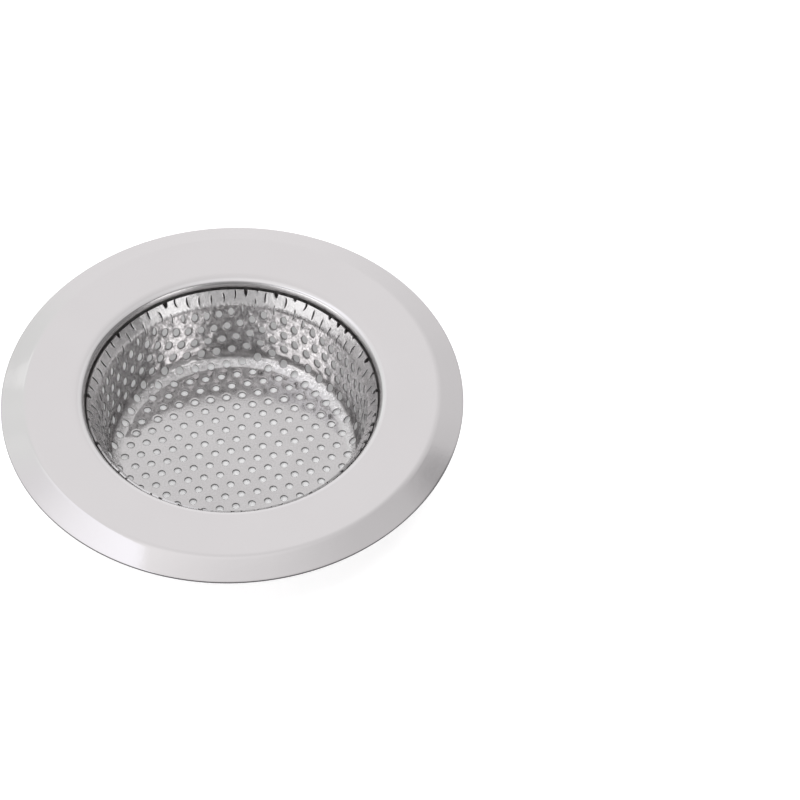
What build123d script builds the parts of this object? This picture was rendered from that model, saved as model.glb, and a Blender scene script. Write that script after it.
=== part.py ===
from build123d import *
import math
import os
from itertools import pairwise

# Sink strainer: a wide pressed rim with a short collar, and a perforated basket
# drawn from one round blank of punched sheet. Millimetres, +Z up, and the origin
# is the middle of the basket's flat bottom, on which the strainer stands.

overallHeight = 23.7  # from the basket's bottom to the rim's flat ring
rimDiameter = 114.3

# Rim and collar, pressed from one sheet
rimSheet = 0.45
creaseRadius = 50.9  # where the flat ring ends and the outer band starts to fall
rimDrop = 2.3  # how far the outer edge lies below the flat ring
rollRadius = 1.8  # the rolled inner edge of the ring, on its upper face
rollFlats = 2
collarBore = 72.8
collarDepth = 6.5  # from the flat ring to the lowest point of the curl
curlRadius = 0.75  # inside of the curl that turns the collar's lower edge in and up again
curlFlats = 2
curlDepth = 4.66  # the curled edge's free end, on which the basket's flared band rests

# Basket, drawn from one sheet
basketSheet = 0.4
bottomRadius = 28.2  # flat part of the bottom
cornerRadius = 3.8  # outside of the bend from bottom to wall
cornerFlats = 3
cornerThinning = 0.14  # share of the sheet's thickness lost where it is drawn round the corner
neckRadius = 33.8  # outside of the wall's upper end, where the band starts to flare
neckDepth = 5.5
mouthRadius = 36.0  # outside of the trimmed upper edge
mouthDepth = 1.9
wallFlats = 26  # flats around the basket

# Perforation, punched in rows in the flat blank before it is drawn
holeDiameter = 2.0
holePitch = 4.05
rowTurn = 12.3  # degrees from +X to a row of holes
rowShift = (-0.87, 0.48)  # how far the rows' middle hole lies off the basket's axis
perforatedDepth = 8.6  # highest hole centres, just below the collar
bottomSides = 4  # sides of a hole in the flat bottom
wallSides = 4  # sides of a hole that the drawing has stretched


def atDepth(radius, depth):
    """A point of a half section, from its radius and its depth below the flat ring."""
    return Vector(radius, overallHeight - depth)


def bend(centre, radius, start, turn, flats):
    """Points of a bend in a half section, at equal steps of its angle, in degrees."""
    reach = Vector(radius, 0)
    return [centre + reach.rotate(Axis.Z, start + turn * k / flats) for k in range(flats + 1)]


def leftOf(line, sheet):
    """The same line moved to its left by the sheet's thickness, with mitred corners."""
    sides = [(b - a).normalized().rotate(Axis.Z, 90) for a, b in pairwise(line)]
    mitres = [(m + n) / (1 + m.dot(n)) for m, n in pairwise(sides)]
    return [p + m * sheet for p, m in zip(line, [sides[0], *mitres, sides[-1]])]


def rimLine():
    """The rim's upper face from its outer edge inwards, down the collar and round the curl."""
    bore = collarBore / 2
    curlCentre = atDepth(bore - curlRadius, collarDepth - rimSheet - curlRadius)
    return [
        atDepth(rimDiameter / 2, rimDrop),
        atDepth(creaseRadius, 0),
        *bend(atDepth(bore + rollRadius, rollRadius), rollRadius, 90, 90, rollFlats),
        *bend(curlCentre, curlRadius, 0, -180, curlFlats),
        atDepth(bore - 2 * curlRadius, curlDepth),
    ]


def wallLean():
    """The angle from the axis of a wall that leaves the corner smoothly and ends at the neck."""
    reach = neckRadius - bottomRadius
    rise = overallHeight - neckDepth - cornerRadius
    return math.degrees(math.atan2(reach, rise) - math.asin(cornerRadius / math.hypot(reach, rise)))


def basketLine():
    """The basket's outer face from the middle of its bottom to its mouth."""
    return [
        Vector(0, 0),
        *bend(Vector(bottomRadius, cornerRadius), cornerRadius, -90, 90 - wallLean(), cornerFlats),
        atDepth(neckRadius, neckDepth),
        atDepth(mouthRadius, mouthDepth),
    ]


def flatSided(section, flats):
    """A closed shell of flats around +Z, from a half section whose ends are two flat bottoms."""
    reach = 1 / math.sqrt(math.cos(math.pi / flats))
    rings = []
    for point in section:
        across = Vector(point.X * reach, 0, point.Y)
        rings.append([across.rotate(Axis.Z, 360 * k / flats) for k in range(flats)])
    loops = [rings[0], rings[-1]]
    for low, high in pairwise(rings):
        loops += [[low[k - 1], low[k], high[k], high[k - 1]] for k in range(flats)]
    return Solid(Shell([Face(Wire.make_polygon(loop, close=True)) for loop in loops]))


def drawnPlace(blankRadius, line):
    """Radius, height, slope and thinning of a drawn ring of the blank.

    Drawing keeps the metal, so the area inside the ring in the flat blank is the area
    of the basket's face from its axis to the ring, less what the corner gains by thinning.
    """
    left = blankRadius**2
    for band, (low, high) in enumerate(pairwise(line)):
        along = high - low
        thinning = cornerThinning if 1 <= band <= cornerFlats else 0
        blankShare = along.length / along.X * (1 - thinning)
        bandArea = (high.X**2 - low.X**2) * blankShare
        if left <= bandArea:
            radius = math.sqrt(low.X**2 + left / blankShare)
            height = low.Y + (radius - low.X) * along.Y / along.X
            return radius, height, along.normalized(), thinning
        left -= bandArea
    return None


def blankRows(reach):
    """The holes' places in the flat blank, in rows that cross at sixty degrees."""
    along = Vector(holePitch, 0).rotate(Axis.Z, rowTurn)
    across = along.rotate(Axis.Z, 60)
    count = math.ceil(2 * reach / holePitch)
    for i in range(-count, count + 1):
        for j in range(-count, count + 1):
            yield Vector(*rowShift) + along * i + across * j


def holeCutter(around, blankRadius, radius, height, slope, thinning):
    """A prism for one hole, stretched up the slope and narrowed around it as its sheet is."""
    narrowing = radius / blankRadius
    stretch = 1 / narrowing / (1 - thinning)
    inBottom = slope.Y == 0
    sides = bottomSides if inBottom else wallSides
    corner = holeDiameter / 2 * math.sqrt(2 * math.pi / sides / math.sin(2 * math.pi / sides))
    first = around - rowTurn if inBottom else 0
    outwards = Vector(1, 0, 0).rotate(Axis.Z, around)
    sheetPlane = Plane(
        origin=outwards * radius + Vector(0, 0, height),
        x_dir=outwards * slope.X + Vector(0, 0, slope.Y),
        z_dir=outwards * slope.Y - Vector(0, 0, slope.X),
    )
    outline = []
    for k in range(sides):
        point = Vector(corner, 0).rotate(Axis.Z, first + 360 * k / sides)
        outline.append((point.X * stretch, point.Y * narrowing))
    return extrude(sheetPlane * Polygon(*outline, align=None), amount=2 * basketSheet, both=True)


def holeCutters(line):
    """A cutter for each punched hole, carried to its place in the drawn basket."""
    cutters = []
    for place in blankRows(overallHeight + mouthRadius):
        drawn = drawnPlace(place.length, line)
        if drawn and drawn[1] < overallHeight - perforatedDepth:
            around = math.degrees(math.atan2(place.Y, place.X))
            cutters.append(holeCutter(around, place.length, *drawn))
    print("holes", len(cutters))
    return cutters


def rim():
    line = rimLine()
    return revolve(Plane.XZ * Polygon(*line, *reversed(leftOf(line, rimSheet)), align=None), Axis.Z)


def basket():
    line = basketLine()
    inner = leftOf(line, basketSheet)
    return flatSided([*line[1:], *reversed(inner[1:])], wallFlats) - holeCutters(line)


os.makedirs("parts", exist_ok=True)
for name, piece in {"rim": rim, "basket": basket}.items():
    export_step(piece(), f"parts/{name}.step")
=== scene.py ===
import math
import bmesh
import bpy
import numpy as np
from mathutils import Matrix, Vector, noise


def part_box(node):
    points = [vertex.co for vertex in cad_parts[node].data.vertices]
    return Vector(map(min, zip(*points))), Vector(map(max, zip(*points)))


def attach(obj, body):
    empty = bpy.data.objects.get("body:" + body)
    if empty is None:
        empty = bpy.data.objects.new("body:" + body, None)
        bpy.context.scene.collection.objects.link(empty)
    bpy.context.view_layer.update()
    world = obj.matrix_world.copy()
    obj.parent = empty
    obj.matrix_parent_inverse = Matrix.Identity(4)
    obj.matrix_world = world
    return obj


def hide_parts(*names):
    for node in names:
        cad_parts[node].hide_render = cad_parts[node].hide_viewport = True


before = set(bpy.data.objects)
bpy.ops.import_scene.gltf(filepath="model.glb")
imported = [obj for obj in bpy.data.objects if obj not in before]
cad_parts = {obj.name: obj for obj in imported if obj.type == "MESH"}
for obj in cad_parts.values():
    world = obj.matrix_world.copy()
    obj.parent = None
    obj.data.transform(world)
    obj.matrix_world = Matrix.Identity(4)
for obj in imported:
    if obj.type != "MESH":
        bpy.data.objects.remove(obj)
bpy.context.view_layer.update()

mm = 0.001
scene = bpy.context.scene
scene.view_settings.view_transform = "Standard"
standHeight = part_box("rim")[1].z / mm  # the flat ring's height over the bottom

# Shared helpers

class Sock:  # a shader socket that takes part in plain expressions
    def __init__(self, tree, out):
        self.tree, self.out = tree, out

    def isVector(self):
        return self.out.type in {"VECTOR", "RGBA"}

    def join(self, operation, first, second):
        wide = any(isinstance(s, tuple) or isinstance(s, Sock) and s.isVector() for s in (first, second))
        if wide:  # a number beside a vector stands for all three of its parts
            first, second = (s if isinstance(s, (Sock, tuple)) else (s, s, s) for s in (first, second))
        return self.tree.add("VectorMath" if wide else "Math", {"operation": operation}, first, second)

    def __add__(self, other):
        return self.join("ADD", self, other)

    def __radd__(self, other):
        return self.join("ADD", other, self)

    def __sub__(self, other):
        return self.join("SUBTRACT", self, other)

    def __rsub__(self, other):
        return self.join("SUBTRACT", other, self)

    def __mul__(self, other):
        return self.join("MULTIPLY", self, other)

    def __rmul__(self, other):
        return self.join("MULTIPLY", other, self)

    def __truediv__(self, other):
        return self.join("DIVIDE", self, other)

    def __rtruediv__(self, other):
        return self.join("DIVIDE", other, self)

    def __pow__(self, other):
        return self.join("POWER", self, other)

    def __rpow__(self, other):
        return self.join("POWER", other, self)


class Tree:  # a node tree that new nodes are added to
    def __init__(self, nodeTree):
        self.nodeTree = nodeTree
        nodeTree.nodes.clear()

    def node(self, kind, settings, inputs):
        made = self.nodeTree.nodes.new("ShaderNode" + kind)
        for name, value in settings.items():
            setattr(made, name, value)
        for name, value in inputs:
            if isinstance(value, Sock):
                self.nodeTree.links.new(value.out, made.inputs[name])
            else:
                made.inputs[name].default_value = value
        return made

    def add(self, kind, settings=None, *places, out=0, **named):
        inputs = [*enumerate(places), *((name.replace("_", " "), value) for name, value in named.items())]
        return Sock(self, self.node(kind, settings or {}, inputs).outputs[out])

    def blend(self, share, first, second):  # colours through Mix
        made = self.node("Mix", {"data_type": "RGBA"}, [("Factor", share), (6, first), (7, second)])
        return Sock(self, made.outputs[2])

    def split(self, vector):  # its three parts
        made = self.node("SeparateXYZ", {}, [(0, vector)])
        return [Sock(self, made.outputs[k]) for k in range(3)]

    def spread(self, value, low, high, first, last):  # low..high becomes first..last, clamped
        return self.add("MapRange", {}, value, low, high, first, last)

    def within(self, value, start, end):  # 0 to 1 over the start's two values, and back over the end's
        return self.spread(value, *start, 0.0, 1.0) * self.spread(value, *end, 1.0, 0.0)


def addedUp(amounts, **masks):  # the plain amount, and each mask's own amount where the mask is
    total = amounts["plain"]
    for name, mask in masks.items():
        total = total + amounts[name] * mask
    return total


def newMaterial(name):
    material = bpy.data.materials.new(name)
    material.use_nodes = True
    return material, Tree(material.node_tree)


def finishMaterial(tree, shader):
    tree.node("OutputMaterial", {}, [("Surface", shader)])


def steelShader(tree, tone, roughness, relief):  # the relief is in mm
    bump = tree.add("Bump", Strength=1.0, Distance=mm, Height=relief)
    shader = tree.add("BsdfPrincipled", Base_Color=tone, Metallic=1.0, Roughness=roughness, Normal=bump)
    finishMaterial(tree, shader)


def addPiece(name, bm, material, node, sharpAngle):
    mesh = bpy.data.meshes.new(name)
    bm.to_mesh(mesh)
    bm.free()
    mesh.shade_smooth()
    mesh.set_sharp_from_angle(angle=math.radians(sharpAngle))
    mesh.materials.append(material)
    piece = bpy.data.objects.new(name, mesh)
    scene.collection.objects.link(piece)
    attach(piece, "root")
    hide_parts(node)
    return piece


def turned(angle):
    return Vector((math.cos(angle), math.sin(angle)))


def arc(centre, radius, start, turn, steps):  # points of a bend in a half section, angles in degrees
    return [centre + radius * turned(math.radians(start + turn * k / steps)) for k in range(steps + 1)]


def atDepth(radius, depth):  # a point of a half section from its depth below the flat ring
    return Vector((radius, standHeight - depth))


def fillet(before, corner, after, radius, steps):  # a corner of a half section, rounded
    first, last = (before - corner).normalized(), (after - corner).normalized()
    half = first.angle(last) / 2
    centre = corner + (first + last).normalized() * radius / math.sin(half)
    start = corner + first * radius / math.tan(half) - centre
    turn = math.copysign(180 - 2 * math.degrees(half), first.y * last.x - first.x * last.y)
    return arc(centre, radius, math.degrees(math.atan2(start.y, start.x)), turn, steps)


def smooth(value, low, high):  # 0 to 1 with soft ends
    t = min(1, max(0, (value - low) / (high - low)))
    return t * t * (3 - 2 * t)


# Camera, set to the photograph's view

shot = dict(
    elevation=50.12,  # degrees above the horizon
    roll=0.45,
    focalPixels=4163.2,  # focal length in pixels of the picture
    picturePixels=800,
    across=-41.36,  # the ring's middle as the camera sees it, in mm: right, down and away
    down=-1.81,
    away=1025.2,
    clip=(0.01, 100),  # nearest and farthest that it sees, in metres
)


def addCamera():
    lens = bpy.data.cameras.new("camera")
    lens.sensor_width = 36
    lens.lens = shot["focalPixels"] * lens.sensor_width / shot["picturePixels"]
    lens.clip_start, lens.clip_end = shot["clip"]
    tilt = Matrix.Rotation(math.radians(90 - shot["elevation"]), 3, "X")
    turn = tilt @ Matrix.Rotation(math.radians(shot["roll"]), 3, "Z")
    target = Vector((0, 0, standHeight))
    seen = Vector((shot["across"], -shot["down"], -shot["away"]))
    camera = bpy.data.objects.new("camera", lens)
    camera.matrix_world = Matrix.LocRotScale((target - turn @ seen) * mm, turn, None)
    scene.collection.objects.link(camera)
    scene.camera = camera


addCamera()
print("camera set")

# Rim: flat ring, falling outer band, rolled inner edge, collar and curled lower edge in one sheet

rim = dict(
    sheet=0.45,
    outerRadius=57.0,
    drop=2.3,  # outer edge below the flat ring
    bandPlaces=(0.06, 0.4),  # shares of the falling band's width that have a ring of points
    creaseRadius=50.87,
    creaseBend=5.0,
    easeStart=40.35,  # where the ring starts to roll over, gently
    easeTurn=15,  # degrees turned by the gentle part
    bore=36.4,
    rollRadius=1.5,  # tight part of the roll
    collarDepth=6.5,
    curlRadius=0.75,
    curlEnd=4.66,  # depth of the curled edge's free end
    edgeRound=0.08,  # rounding of the sheet's cut edges
    steps=dict(crease=8, ease=6, roll=10, curl=16, freeEdge=4, outerEdge=3),
    segments=360,
    sharpAngle=40,
    dullReach=0.8,  # how far out from the bore the roll is rougher and painted darker, as painted shade of the gap over the basket's mouth
    dullFade=0.4,
    rollHighlightStart=(38.2, 37.8),  # painted highlight: the roll's tone is brighter from here inwards
    cutStart=(0.06, 0.03),  # the outer cut edge, rough and painted dark as shade, starts this far inside the outer radius
    cloud=dict(Scale=0.06, Detail=3.0),  # noise on places in mm
    rings=dict(Scale=3.0, Detail=4.0, Roughness=0.7),  # turning marks, on the radius in mm
    peel=dict(Scale=0.35, Detail=2.0),
    rub=dict(Scale=0.8, Detail=6.0, Roughness=0.75),
    rubStretch=(1.0, 6.0, 1.0),
    roughness=dict(plain=0.05, cloud=0.04, rub=0.03, dull=0.22, cut=0.4),
    relief=dict(plain=0.0, peel=0.012, rings=0.0012, rub=0.0006),
    polishTones=((0.640, 0.620, 0.625, 1), (0.665, 0.645, 0.650, 1)),
    # painted highlight on the roll's crest
    rollHighlightTone=(0.70, 0.685, 0.69, 1),
    # painted shade in the gap between the collar and the basket's mouth
    dullTone=(0.44, 0.43, 0.43, 1),
    # the outer cut edge's tone: its rough cut, painted dark as shade
    cutShadeTone=(0.08, 0.075, 0.08, 1),
)


def rimLine():  # upper face from the outer edge inwards, down the collar and round the curl
    s, steps = rim, rim["steps"]
    bore, ease, steep = s["bore"], math.radians(s["easeTurn"]), s["rollRadius"]
    easeEnd = bore + steep * (1 - math.sin(ease))  # where the tight part takes over
    easeRadius = (s["easeStart"] - easeEnd) / math.sin(ease)
    sunk = easeRadius * (1 - math.cos(ease)) + steep * math.cos(ease)
    flatEnd = atDepth(s["easeStart"], 0)
    outerEdge, crease = atDepth(s["outerRadius"], s["drop"]), atDepth(s["creaseRadius"], 0)
    curlCentre = atDepth(bore - s["curlRadius"], s["collarDepth"] - s["sheet"] - s["curlRadius"])
    return [
        outerEdge,
        *(outerEdge.lerp(crease, share) for share in s["bandPlaces"]),
        *fillet(outerEdge, crease, flatEnd, s["creaseBend"], steps["crease"]),
        crease.lerp(flatEnd, 0.5),
        *arc(atDepth(s["easeStart"], easeRadius), easeRadius, 90, s["easeTurn"], steps["ease"]),
        *arc(atDepth(bore + steep, sunk), steep, 90 + s["easeTurn"], 90 - s["easeTurn"], steps["roll"])[1:],
        *arc(curlCentre, s["curlRadius"], 0, -180, steps["curl"]),
        atDepth(bore - 2 * s["curlRadius"], s["curlEnd"]),
    ]


def normals(line):  # unit normals on the left of an open line
    made = []
    for before, after in zip([line[0], *line[:-1]], [*line[1:], line[-1]]):
        along = (after - before).normalized()
        made.append(Vector((-along.y, along.x)))
    return made


def roundEnd(point, normal, sheet, edge, steps):  # a cut edge from the line's side to the other, rounded
    outward = Vector((normal.y, -normal.x))
    back = point - outward * edge
    low, high = back + normal * edge, back + normal * (sheet - edge)
    turn = math.degrees(math.atan2(-normal.y, -normal.x))
    return [*arc(low, edge, turn, 90, steps), *arc(high, edge, turn + 90, 90, steps)]


def rimRing():  # the closed half section, each point with how far its face is rougher and painted as the gap's shade
    line, sheet, edge, steps = rimLine(), rim["sheet"], rim["edgeRound"], rim["steps"]
    side = normals(line)
    other = [p + n * sheet for p, n in zip(line, side)]
    inner = roundEnd(line[-1], side[-1], sheet, edge, steps["freeEdge"])
    top, fall = line[0], line[0] - line[1]
    # The outer edge is cut upright
    under = Vector((top.x, other[0].y + (top.x - other[0].x) * fall.y / fall.x))
    outer = [
        *fillet(other[1], under, top, edge, steps["outerEdge"]),
        *fillet(under, top, line[1], edge, steps["outerEdge"]),
    ]
    # inside this radius the face turns rougher and takes the painted shade of the gap
    dullShadedFrom = rim["bore"] + rim["dullReach"]
    upper = [(p, smooth(dullShadedFrom - p.x, 0, rim["dullFade"])) for p in line[1:-1]]
    rest = [(p, 0) for p in (*reversed(other[1:-1]), *outer)]
    return [*upper, *((p, 1) for p in inner), *rest]


def revolve(bm, ring, segments):
    dullLayer = bm.verts.layers.float.new("dull")
    loops = []
    for k in range(segments):
        a = math.tau * k / segments
        loop = []
        for p, dull in ring:
            v = bm.verts.new((p.x * math.cos(a) * mm, p.x * math.sin(a) * mm, p.y * mm))
            v[dullLayer] = dull
            loop.append(v)
        loops.append(loop)
    for k in range(segments):
        here, there = loops[k - 1], loops[k]
        for i in range(len(ring)):
            bm.faces.new((here[i - 1], here[i], there[i], there[i - 1]))
    bmesh.ops.recalc_face_normals(bm, faces=bm.faces)


def rimSteel():
    material, tree = newMaterial("polished rim steel")
    place = tree.add("TexCoord", out="Object") / mm
    x, y, _ = tree.split(place)
    radius = (x * x + y * y) ** 0.5
    cloud = tree.add("TexNoise", Vector=place, **rim["cloud"])
    rings = tree.add("TexNoise", {"noise_dimensions": "1D"}, W=radius, **rim["rings"])
    peel = tree.add("TexNoise", Vector=place, **rim["peel"])
    rub = tree.add("TexNoise", Vector=place * rim["rubStretch"], **rim["rub"])
    dull = tree.add("Attribute", {"attribute_name": "dull"}, out="Fac")
    # painted highlight: the roll's tone brightens inwards of this radius
    rollHighlight = tree.spread(radius, *rim["rollHighlightStart"], 0.0, 1.0)
    # the outer cut edge: rougher, and painted dark as shade
    cut = tree.spread(radius, *(rim["outerRadius"] - inside for inside in rim["cutStart"]), 0.0, 1.0)
    tone = tree.blend(cloud, *rim["polishTones"])
    # the painted highlight on the roll
    tone = tree.blend(rollHighlight, tone, rim["rollHighlightTone"])
    # painted shade in the gap between the collar and the basket
    tone = tree.blend(dull, tone, rim["dullTone"])
    # the outer cut edge, painted dark as shade
    tone = tree.blend(cut, tone, rim["cutShadeTone"])
    roughness = addedUp(rim["roughness"], cloud=cloud, rub=rub, dull=dull, cut=cut)
    relief = addedUp(rim["relief"], peel=peel, rings=rings, rub=rub)
    steelShader(tree, tone, roughness, relief)
    return material


def makeRim():
    bm = bmesh.new()
    revolve(bm, rimRing(), rim["segments"])
    addPiece("pressed_rim", bm, rimSteel(), "rim", rim["sharpAngle"])


makeRim()
print("rim made")

# Basket: punched blank drawn into a cup

basket = dict(
    sheet=0.4,
    bottomRadius=27.6,
    cornerRadius=4.3,
    cornerThinning=0.14,  # share of the sheet's thickness lost where it is drawn round the corner
    neck=(33.8, 5.5),  # radius and depth where the wall ends and the band flares
    neckBend=1.6,
    mouth=(35.9, 2.1),  # radius and depth of the trimmed edge
    runOut=1.5,  # the drawn band goes on by this share of itself before it is trimmed
    steps=dict(bottom=28, corner=24, neck=8, between=6),
    leastEdge=0.004,  # shorter edges left by the trimming are taken out
    sharpAngle=50,
    # Punching
    holeDiameter=(1.88, 2.04),  # in the bottom and in the wall
    wallHoles=(0.3, 3),  # heights between which the bottom's holes give way to the wall's
    pitch=4.05,
    rowTurn=12.3,
    rowShift=(-0.87, 0.48),
    rollOver=(0.14, 0.34),  # width of the punched edge's rounding, in the bottom and in the wall
    rollDepth=(0.06, 0.15),
    rollProfile=((0, 1), (0.2, 0.5), (0.5, 0.15), (1, 0)),  # places across the rounding, and the depth there
    rollCut=0.3,  # up to here across the rounding, the face takes the cut faces' rough finish and painted shade
    holeSteps=24,
    # Slits, where the collar's fit pressed the holes together, and notches, where the mouth is torn
    slitsEnd=(6.8, 8.2),  # depths over which the slits turn to whole holes
    slitWidth=0.22,  # share of a hole's width that is left
    slitBow=1.0,
    bowNoise=(3.3, 0.9),  # layer and scale of the noise
    slitLean=0.3,
    leanNoise=(7.1, 0.7),
    slitRolls=(0.4, 0.5),  # shares of the rounding's width and depth lost in a slit
    notchesEnd=(1.6, 2.8),
    notchWidth=0.8,
    notchGrowth=0.45,  # share by which a notch is torn longer
    # Dents: each zone's heights of the fine and the finer dents
    wallDents=(0.17, 0.05),
    wallFoot=(0.6, 5),  # heights over which the wall's dents start
    wallTop=(6, 7.5),  # and depths over which they end
    cornerDents=(0.10, 0.03),
    cornerZone=((25.5, 28), (32, 35)),  # radii in the blank
    bandDents=(0.05, 0.04),
    bandFoot=(3, 4.2),
    broadDents=0.03,
    fineNoise=(0, 0.42),
    finerNoise=(9, 1.0),
    broadNoise=(5, 0.12),
    # Finish: noise on places in the blank, zones as radii in the blank, all in mm
    grain=dict(Scale=1.5, Detail=4.0, Roughness=0.65),
    fine=dict(Scale=4.5, Detail=3.0, Roughness=0.6),
    cloud=dict(Scale=0.12, Detail=3.0),
    scuff=dict(Scale=0.9, Detail=5.0, Roughness=0.7),
    scuffStretch=(1.0, 5.0, 1.0),
    mottle=dict(Scale=1.0, Detail=3.0, Roughness=0.6),
    mottleSpread=(0.42, 0.58),
    speck=dict(Scale=2.2, Detail=2.0, Roughness=0.6),
    speckShares=(0.7, 0.3),  # of the specks and of the clouds
    speckSpread=(0.38, 0.62),
    drawnFrom=(1.0, 0.92),  # the sheet counts as drawn once it is narrowed to this share
    verge=((17.0, 24.0), (27.0, 28.5)),  # outer part of the bottom, the smoothest
    knuckle=((28.0, 29.0), (30.0, 30.8)),  # line of the corner: rougher, coarser grain, and a painted highlight
    foot=((29.8, 30.5), (31.8, 33.0)),  # lower end of the wall: rougher, and painted darker as shade
    bandStart=(5.4, 4.4),  # depths
    roughness=dict(plain=0.08, verge=-0.05, cloud=0.04, scuff=0.04, mottle=0.05, knuckle=0.08, foot=0.12,
                   cut=0.4),
    grainRelief=dict(plain=0.010, drawn=0.045, knuckle=0.14, verge=-0.006),
    fineRelief=dict(plain=0.010, drawn=0.010, knuckle=0.05, verge=-0.007),
    scuffRelief=0.003,
    bottomTones=((0.500, 0.487, 0.489, 1), (0.575, 0.562, 0.564, 1)),
    wallTones=((0.50, 0.49, 0.49, 1), (0.86, 0.85, 0.85, 1)),
    lowWall=(4.0, 9.0, 0.6, 0.0),  # heights between which the darker tone's share falls, and the share
    lowWallTone=(0.42, 0.41, 0.41, 1),
    bandTone=(0.66, 0.648, 0.65, 1),
    # painted shade at the wall's lower end
    footShadeShare=0.8,
    footShadeTone=(0.33, 0.32, 0.32, 1),
    # painted highlight on the corner's line, mottled
    knuckleHighlightShares=dict(plain=0.2, mottle=0.8),
    knuckleHighlightTone=(0.72, 0.708, 0.71, 1),
    # the cut faces: their rough cut, and painted shade inside the holes
    cutShadeTone=(0.27, 0.265, 0.265, 1),
)


def basketLine():  # outer face of the cup, from the middle of its bottom up
    s, steps = basket, basket["steps"]
    neck, mouth = atDepth(*s["neck"]), atDepth(*s["mouth"])
    corner = Vector((s["bottomRadius"], s["cornerRadius"]))
    reach = neck - corner
    lean = math.atan2(reach.x, reach.y) - math.asin(s["cornerRadius"] / reach.length)
    line = [Vector((s["bottomRadius"] * k / steps["bottom"], 0)) for k in range(steps["bottom"])]
    line += arc(corner, s["cornerRadius"], -90, 90 - math.degrees(lean), steps["corner"])
    line += fillet(line[-1], neck, mouth, s["neckBend"], steps["neck"])
    return [*line, mouth, mouth + (mouth - neck) * s["runOut"]]


class Drawing:  # carries a place in the flat blank to the drawn cup, keeping the sheet's metal
    def __init__(self, line):
        s, between = basket, basket["steps"]["between"]
        fine = [line[0]]
        for low, high in zip(line, line[1:]):
            fine += [low.lerp(high, k / between) for k in range(1, between + 1)]
        self.radius = np.array([p.x for p in fine])
        self.height = np.array([p.y for p in fine])
        along = np.hypot(np.diff(self.radius), np.diff(self.height))
        inCorner = (self.radius[1:] > s["bottomRadius"]) & (self.height[1:] < s["cornerRadius"])
        kept = np.where(inCorner, 1 - s["cornerThinning"], 1)
        bands = kept * (self.radius[1:] + self.radius[:-1]) * along
        self.blank = np.sqrt(np.concatenate([[0], np.cumsum(bands)]))
        length = np.concatenate([[0], np.cumsum(along)])
        self.slopeR = np.gradient(self.radius, length)
        self.slopeZ = np.gradient(self.height, length)

    def at(self, blankRadius, table):
        return float(np.interp(blankRadius, self.blank, table))

    def section(self, blankRadius):  # radius, height and the unit normal towards the inside
        r, z = self.at(blankRadius, self.radius), self.at(blankRadius, self.height)
        normal = Vector((-self.at(blankRadius, self.slopeZ), self.at(blankRadius, self.slopeR))).normalized()
        return r, z, normal


def rowPlaces(reach):  # the holes' places in the blank, in rows that cross at sixty degrees
    s = basket
    turn = math.radians(s["rowTurn"])
    along = turned(turn) * s["pitch"]
    across = turned(turn + math.pi / 3) * s["pitch"]
    count = math.ceil(2 * reach / s["pitch"])
    for i in range(-count, count + 1):
        for j in range(-count, count + 1):
            place = Vector(s["rowShift"]) + along * i + across * j
            if place.length < reach:
                yield place


def hexagon(step):  # a point of the six-sided cell round a hole
    s = basket
    k, part = divmod(step, s["holeSteps"] // 6)
    first, second = (turned(math.radians(s["rowTurn"] + 30 + 60 * n)) for n in (k, k + 1))
    return first.lerp(second, part * 6 / s["holeSteps"]) * s["pitch"] / math.sqrt(3)


def uneven(place, layer, scale):  # smooth noise over the blank
    return noise.noise(Vector((place.x, place.y, layer)) * scale)


def punchedCell(place, drawing):
    # rings of blank places round one hole, from the hole out to the cell's border,
    # each place with how far it sinks and whether it belongs to the cut
    s = basket
    _, z, _ = drawing.section(place.length)
    inWall = smooth(z, *s["wallHoles"])
    pressed = 1 - smooth(standHeight - z, *s["slitsEnd"])
    opened = 1 - smooth(standHeight - z, *s["notchesEnd"])
    tall = 1 + s["notchGrowth"] * opened
    slit = s["slitWidth"] + (s["notchWidth"] - s["slitWidth"]) * opened
    width = 1 - (1 - slit) * pressed
    out = place.normalized() if place.length > 0.01 else Vector((1, 0))
    around = Vector((-out.y, out.x))
    bow = s["slitBow"] * pressed * uneven(place, *s["bowNoise"])
    lean = s["slitLean"] * pressed * uneven(place, *s["leanNoise"])
    hole, over, sink = (a + (b - a) * inWall for a, b in (s["holeDiameter"], s["rollOver"], s["rollDepth"]))
    over, sink = (size * (1 - lost * pressed) for size, lost in zip((over, sink), s["slitRolls"]))
    rings = []
    for share, fall in s["rollProfile"]:
        radius = hole / 2 + over * share
        ring = []
        for k in range(s["holeSteps"]):
            direction = hexagon(k).normalized()
            up, side = direction.dot(out), direction.dot(around)
            sideways = side * (radius - (1 - width) * hole / 2) + bow * (1 - up * up) + lean * up
            edge = place + out * up * radius * tall + around * sideways
            ring.append((edge, sink * fall, share < s["rollCut"]))
        rings.append(ring)
    border = [(place + hexagon(k), 0, 0) for k in range(s["holeSteps"])]
    middle = [(a[0].lerp(b[0], 0.5), 0, 0) for a, b in zip(rings[-1], border)]
    return [*rings, middle, border]


def dent(blank, z):  # how far the drawn sheet stands off its true form, in mm
    s, depth, ring = basket, standHeight - z, blank.length
    start, end = s["cornerZone"]
    zones = [
        (smooth(z, *s["wallFoot"]) * smooth(depth, *s["wallTop"]), s["wallDents"]),
        (smooth(ring, *start) * (1 - smooth(ring, *end)), s["cornerDents"]),
        (1 - smooth(depth, *s["bandFoot"]), s["bandDents"]),
    ]
    fine, finer, broad = (uneven(blank, *s[name]) for name in ("fineNoise", "finerNoise", "broadNoise"))
    return sum(zone * (a * fine + b * finer) for zone, (a, b) in zones) + s["broadDents"] * broad


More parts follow.
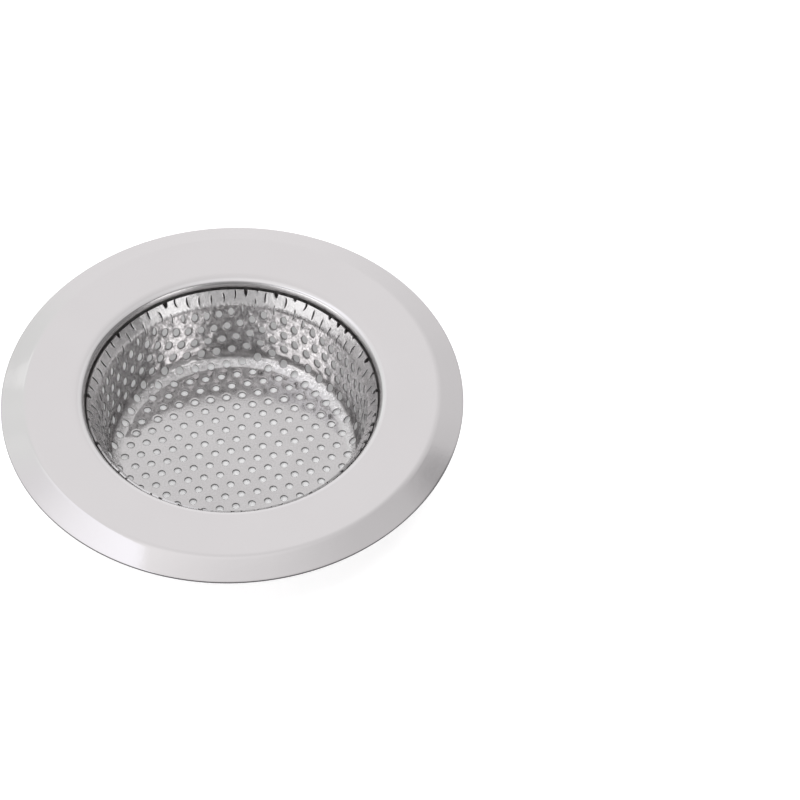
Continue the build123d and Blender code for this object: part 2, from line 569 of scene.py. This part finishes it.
def punchBlank(drawing):  # the outer face with its holes, and how each of its points was made
    s = basket
    flat = bmesh.new()
    blankLayer = flat.verts.layers.float_vector.new("blank")
    sinkLayer = flat.verts.layers.float.new("sink")
    cutLayer = flat.verts.layers.float.new("cut")
    known = {}

    def vertex(place, sink, cut):  # neighbouring cells share their border's points
        key = (round(place.x, 3), round(place.y, 3))
        if key not in known:
            r, z, _ = drawing.section(place.length)
            out = place.normalized()
            v = flat.verts.new((out.x * r, out.y * r, z))
            v[blankLayer] = (place.x, place.y, r / max(place.length, r))
            v[sinkLayer] = sink
            v[cutLayer] = cut
            known[key] = v
        return known[key]

    for place in rowPlaces(drawing.blank[-1] - s["pitch"] / math.sqrt(3)):
        rings = [[vertex(*p) for p in ring] for ring in punchedCell(place, drawing)]
        for inner, outer in zip(rings, rings[1:]):
            for k in range(len(inner)):
                flat.faces.new((inner[k - 1], inner[k], outer[k], outer[k - 1]))
    print("blank punched:", len(flat.faces), "faces")
    mouth = atDepth(*s["mouth"]).y
    bmesh.ops.bisect_plane(flat, geom=[*flat.verts, *flat.edges, *flat.faces], plane_co=(0, 0, mouth),
                           plane_no=(0, 0, 1), clear_outer=True)
    bmesh.ops.dissolve_degenerate(flat, dist=s["leastEdge"], edges=flat.edges)
    flat.verts.index_update()
    return flat, blankLayer, sinkLayer, cutLayer


def makeBasket():
    drawing = Drawing(basketLine())
    flat, blankLayer, sinkLayer, cutLayer = punchBlank(drawing)
    bm = bmesh.new()
    blankOut = bm.verts.layers.float_vector.new("blank")
    cutOut = bm.verts.layers.float.new("cut")
    faces = []
    for inside in (True, False):
        made = []
        for v in flat.verts:
            blank = Vector(v[blankLayer][:2])
            _, _, normal = drawing.section(blank.length)
            off = dent(blank, v.co.z) + (basket["sheet"] - v[sinkLayer] if inside else 0)
            out = Vector(v.co[:2]).normalized() * (v.co.xy.length + normal.x * off)
            new = bm.verts.new(Vector((out.x, out.y, v.co.z + normal.y * off)) * mm)
            new[blankOut] = v[blankLayer]
            new[cutOut] = v[cutLayer]
            made.append(new)
        for f in flat.faces:
            corners = [made[v.index] for v in f.verts]
            bm.faces.new(corners if inside else corners[::-1])
        faces.append(made)
    upper, lower = faces
    for e in flat.edges:
        if len(e.link_faces) == 1:  # the sheet's cut edges, round the holes and at the mouth
            a, b = (v.index for v in e.verts)
            bm.faces.new((upper[a], upper[b], lower[b], lower[a]))
    flat.free()
    bmesh.ops.recalc_face_normals(bm, faces=bm.faces)
    piece = addPiece("punched_basket", bm, basketSteel(), "basket", basket["sharpAngle"])
    print("basket drawn:", len(piece.data.polygons), "faces")


def basketSteel():
    s = basket
    material, tree = newMaterial("drawn basket steel")
    x, y, narrowing = tree.split(tree.add("Attribute", {"attribute_name": "blank"}, out="Vector"))
    cut = tree.add("Attribute", {"attribute_name": "cut"}, out="Fac")
    height = tree.split(tree.add("TexCoord", out="Object") / mm)[2]
    flatPlace = tree.add("CombineXYZ", X=x, Y=y, Z=0.0)
    grain = tree.add("TexNoise", Vector=flatPlace, **s["grain"])
    fine = tree.add("TexNoise", Vector=flatPlace, **s["fine"])
    cloud = tree.add("TexNoise", Vector=flatPlace, **s["cloud"])
    scuff = tree.add("TexNoise", Vector=flatPlace * s["scuffStretch"], **s["scuff"])
    mottle = tree.spread(tree.add("TexNoise", Vector=flatPlace, **s["mottle"]), *s["mottleSpread"], 0.0, 1.0)
    specks, clouds = s["speckShares"]
    speck = tree.add("TexNoise", Vector=flatPlace, **s["speck"]) * specks + cloud * clouds
    speck = tree.spread(speck, *s["speckSpread"], 0.0, 1.0)

    ring = (x * x + y * y) ** 0.5
    verge, knuckle, foot = (tree.within(ring, *s[zone]) for zone in ("verge", "knuckle", "foot"))
    drawn = tree.spread(narrowing, *s["drawnFrom"], 0.0, 1.0)
    band = tree.spread(height, *(standHeight - depth for depth in s["bandStart"]), 0.0, 1.0)

    tone = tree.blend(speck, *s["bottomTones"])
    wall = tree.blend(mottle, *s["wallTones"])
    wall = tree.blend(tree.spread(height, *s["lowWall"]), wall, s["lowWallTone"])
    tone = tree.blend(drawn, tone, wall)
    tone = tree.blend(band, tone, s["bandTone"])
    # painted shade at the wall's lower end
    tone = tree.blend(s["footShadeShare"] * foot, tone, s["footShadeTone"])
    # painted highlight on the corner's line
    tone = tree.blend(knuckle * addedUp(s["knuckleHighlightShares"], mottle=mottle), tone, s["knuckleHighlightTone"])
    # the cut faces darker: their rough cut, and painted shade inside the holes
    tone = tree.blend(cut, tone, s["cutShadeTone"])
    roughness = addedUp(s["roughness"], verge=verge, cloud=cloud, scuff=scuff, mottle=drawn * mottle,
                        knuckle=knuckle, foot=foot, cut=cut)
    grainRelief, fineRelief = (addedUp(s[name], drawn=drawn, knuckle=knuckle, verge=verge)
                               for name in ("grainRelief", "fineRelief"))
    steelShader(tree, tone, roughness, grain * grainRelief + fine * fineRelief + scuff * s["scuffRelief"])
    return material


makeBasket()

# Floor, backdrop and light

studio = dict(
    floorSize=60.0,
    floorLevel=-0.07,  # mm, just under the lowest holes' rolled edges
    floorTone=0.9,
    floorRoughness=0.8,
    floorShine=0.2,
    shadeRing=((29.0, 33.0), (48.0, 56.0)),  # the table in the ring of shade under the flange
    shadeTone=0.6,
    paintedFloorGlow=(0.09, 0.6),  # painted glow on the table: strong away from the basket, to keep its shadows white, and weak under the basket
    glowMiddle=12.0,  # how far behind the strainer's axis the middle of the painted glow's weak spot lies
    glowReach=(38.0, 54.0),
    # The tent. What follows is by direction: x to the right, y away from the camera's side and z up
    tent=1.05,
    frontTent=0.15,  # straight ahead of the camera's side, where the tent is open
    frontFoot=dict(gain=0.55, y=(-0.5, -0.9), z=(0.26, 0.36)),
    overhead=dict(gains=(0.14, -0.16), x=(-0.3, 0.35), z=(0.75, 0.92)),  # gains at the left and the right
    seam=dict(loss=0.08, y=((0.15, 0.3), (0.42, 0.58))),  # between the back of the tent and its top
    right=dict(loss=0.28, x=(0.1, 0.7)),
    lowSides=dict(loss=0.65, x=(0.4, 0.85), z=(0.1, 0.55)),
    # a flat panel overhead at the left, placed by x / z and y / z,
    # with a crisp right edge and a fade towards the left
    panel=dict(gain=0.30, edge=(-0.30, -0.33), fade=(-0.33, -0.8), faded=0.25, slant=0.6, back=(0.18, 0.28),
               z=(0.3, 0.5), leastUp=0.05, tint=(0.985, 0.99, 1.03, 1)),
    card=dict(loss=0.6, x=(0.4, 0.55), y=((-0.5, -0.35), (0.36, 0.48)), z=((0.42, 0.5), (0.72, 0.84))),
    window=dict(gain=0.16, at=(-0.50, 0.70, 0.51), edge=(0.08, 0.06)),
    tint=(1, 0.995, 1.0, 1),
    leftBack=dict(x=(-0.35, -0.45), y=(0.35, 0.45), tint=(0.985, 1.005, 0.995, 1)),
    softboxAway=2.0,  # metres
    softboxes={  # azimuth and elevation in degrees, width and height in metres, and radiance
        "high softbox left": (-54, 36, (1.6, 0.72), 2.2),
        "low softbox left": (-67, 9, (2.9, 0.65), 1.2),
        "high softbox right": (44, 36, (0.8, 0.72), 2.8),
        "low softbox right": (44, 9, (1.1, 0.65), 1.25),
    },
)


def tableMaterial():
    s = studio
    material, tree = newMaterial("white table")
    x, y, _ = tree.split(tree.add("TexCoord", out="Object") / mm)
    away = (x * x + (y - s["glowMiddle"]) ** 2.0) ** 0.5
    # painted glow on the table, weak round the basket
    glow = tree.spread(away, *s["glowReach"], *s["paintedFloorGlow"])
    shade = tree.within((x * x + y * y) ** 0.5, *s["shadeRing"])
    tone = tree.blend(shade, (s["floorTone"],) * 3 + (1,), (s["shadeTone"],) * 3 + (1,))
    shader = tree.add("BsdfPrincipled", Base_Color=tone, Roughness=s["floorRoughness"],
                      Specular_IOR_Level=s["floorShine"], Emission_Color=glow, Emission_Strength=1.0)
    finishMaterial(tree, shader)
    return material


def addFloor():
    bm = bmesh.new()
    bmesh.ops.create_grid(bm, x_segments=1, y_segments=1, size=studio["floorSize"] / 2)
    mesh = bpy.data.meshes.new("floor")
    bm.to_mesh(mesh)
    bm.free()
    mesh.materials.append(tableMaterial())
    floor = bpy.data.objects.new("floor", mesh)
    floor.location.z = studio["floorLevel"] * mm
    scene.collection.objects.link(floor)


def overheadPanel(tree, x, y, z):
    s = studio["panel"]
    up = tree.add("Math", {"operation": "MAXIMUM"}, z, s["leastUp"])
    left, back = x / up, y / up
    panel = tree.spread(left, *s["edge"], 0.0, 1.0) * tree.spread(left, *s["fade"], 1.0, s["faded"])
    panel *= tree.spread(back + s["slant"] * left, *s["back"], 1.0, 0.0)
    return panel * tree.spread(z, *s["z"], 0.0, 1.0)


def addTent():
    s = studio
    world = bpy.data.worlds.new("tent")
    scene.world = world
    world.use_nodes = True
    tree = Tree(world.node_tree)
    direction = tree.add("TexCoord", out="Generated")
    x, y, z = tree.split(direction)
    light = tree.spread(y, 0.0, -1.0, s["tent"], s["frontTent"])
    foot, overhead, low = s["frontFoot"], s["overhead"], s["lowSides"]
    light += foot["gain"] * tree.spread(y, *foot["y"], 0.0, 1.0) * tree.spread(z, *foot["z"], 1.0, 0.0)
    light += tree.spread(z, *overhead["z"], 0.0, 1.0) * tree.spread(x, *overhead["x"], *overhead["gains"])
    light *= 1.0 - s["seam"]["loss"] * tree.within(y, *s["seam"]["y"])
    light *= 1.0 - s["right"]["loss"] * tree.spread(x, *s["right"]["x"], 0.0, 1.0)
    aside = tree.add("Math", {"operation": "ABSOLUTE"}, x)
    light *= 1.0 - low["loss"] * tree.spread(aside, *low["x"], 0.0, 1.0) * tree.spread(z, *low["z"], 1.0, 0.0)
    panel = overheadPanel(tree, x, y, z)
    light += panel * s["panel"]["gain"]
    card, window, leftBack = s["card"], s["window"], s["leftBack"]
    cardShare = tree.spread(x, *card["x"], 0.0, 1.0) * tree.within(z, *card["z"]) * tree.within(y, *card["y"])
    light *= 1.0 - card["loss"] * cardShare
    away = tree.add("VectorMath", {"operation": "DISTANCE"}, direction, window["at"], out="Value")
    light += window["gain"] * tree.spread(away, *window["edge"], 0.0, 1.0)
    tint = tree.blend(panel, s["tint"], s["panel"]["tint"])
    greenish = tree.spread(x, *leftBack["x"], 0.0, 1.0) * tree.spread(y, *leftBack["y"], 0.0, 1.0)
    tint = tree.blend(greenish, tint, leftBack["tint"])
    background = tree.add("Background", Color=tint * light, Strength=1.0)
    tree.node("OutputWorld", {}, [("Surface", background)])


def addSoftbox(name, azimuth, elevation, size, radiance):
    light = bpy.data.lights.new(name, "AREA")
    light.shape = "RECTANGLE"
    light.size, light.size_y = size
    light.energy = radiance * math.pi * size[0] * size[1]
    a, e = math.radians(azimuth), math.radians(elevation)
    back = Vector((math.sin(a) * math.cos(e), -math.cos(a) * math.cos(e), math.sin(e)))
    lamp = bpy.data.objects.new(name, light)
    lamp.location = back * studio["softboxAway"]
    lamp.rotation_mode = "QUATERNION"
    lamp.rotation_quaternion = back.to_track_quat("Z", "Y")
    lamp.visible_camera = False
    scene.collection.objects.link(lamp)


addFloor()
addTent()
for name, settings in studio["softboxes"].items():
    addSoftbox(name, *settings)
print("studio lit")
